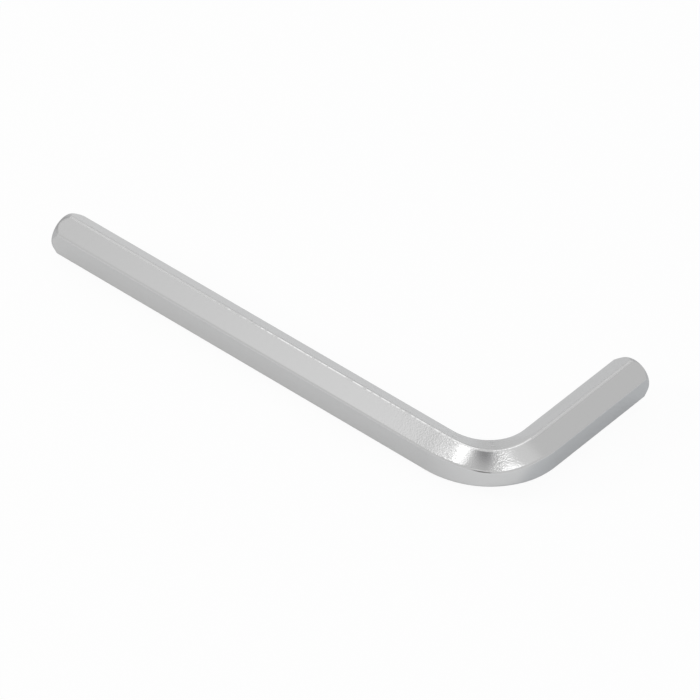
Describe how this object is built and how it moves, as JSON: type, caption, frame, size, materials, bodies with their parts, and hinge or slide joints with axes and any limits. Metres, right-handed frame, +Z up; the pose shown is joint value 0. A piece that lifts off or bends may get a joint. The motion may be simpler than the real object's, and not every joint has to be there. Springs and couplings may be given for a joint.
{
  "type": "hex key",
  "caption": "L-shaped hex key bent from one length of hexagonal steel bar, with a turned end on each arm that fits a hexagon socket.",
  "frame": {"origin": "centre of the key's outline, seen from above, on the surface that it lies on", "axes": "+X along the long arm towards the bend, +Y along the short arm away from the bend, +Z up from the surface"},
  "size_m": [0.11, 0.046, 0.009],
  "materials": {
    "plated_steel": "bright nickel plate over drawn and cold-bent steel, slightly grained at the bend"
  },
  "bodies": {
    "root": {"hex_key": "plated_steel"}
  },
  "joints": []
}
